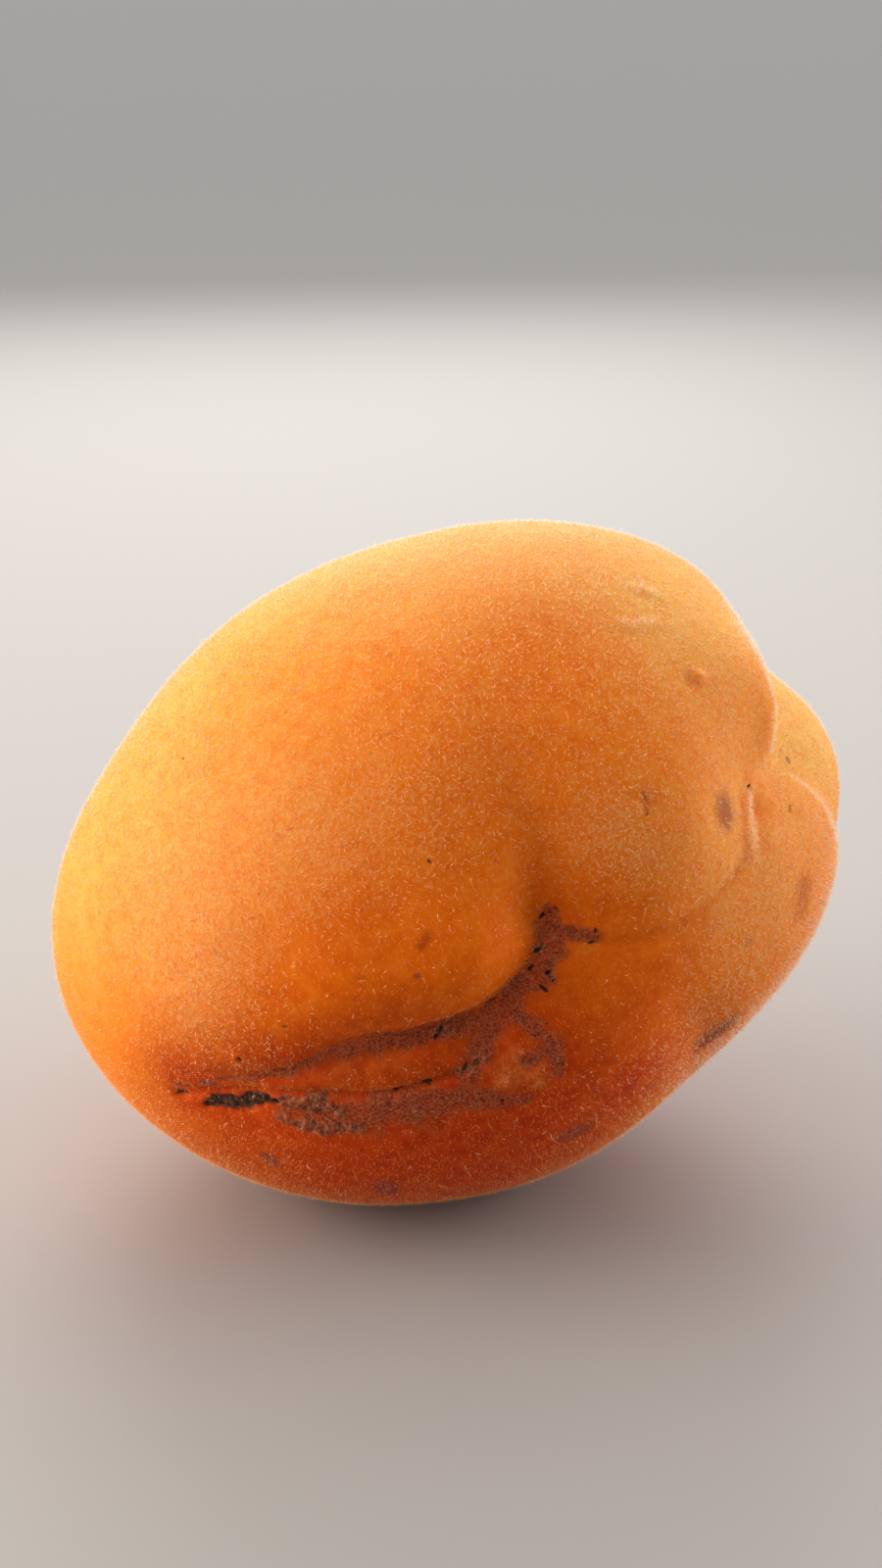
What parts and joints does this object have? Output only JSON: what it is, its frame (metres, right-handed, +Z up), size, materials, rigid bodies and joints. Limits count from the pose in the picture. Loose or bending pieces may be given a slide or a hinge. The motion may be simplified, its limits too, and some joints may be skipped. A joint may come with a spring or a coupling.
{
  "type": "apricot",
  "caption": "Whole ripe apricot lying on its side, downy orange skin, deep scarred seam across the front, uneven lobes and a stalk cavity behind them.",
  "frame": {"origin": "on the surface the fruit lies on, under the middle of its bounding box", "axes": "+X to the fruit's right, near its long axis from the tip to the right-hand lobes; +Z up; the scarred seam faces -Y"},
  "size_m": [0.0536, 0.046, 0.0458],
  "materials": {
    "skin": "matte, downy fruit skin"
  },
  "bodies": {
    "root": {"apricot": "skin"}
  },
  "joints": []
}
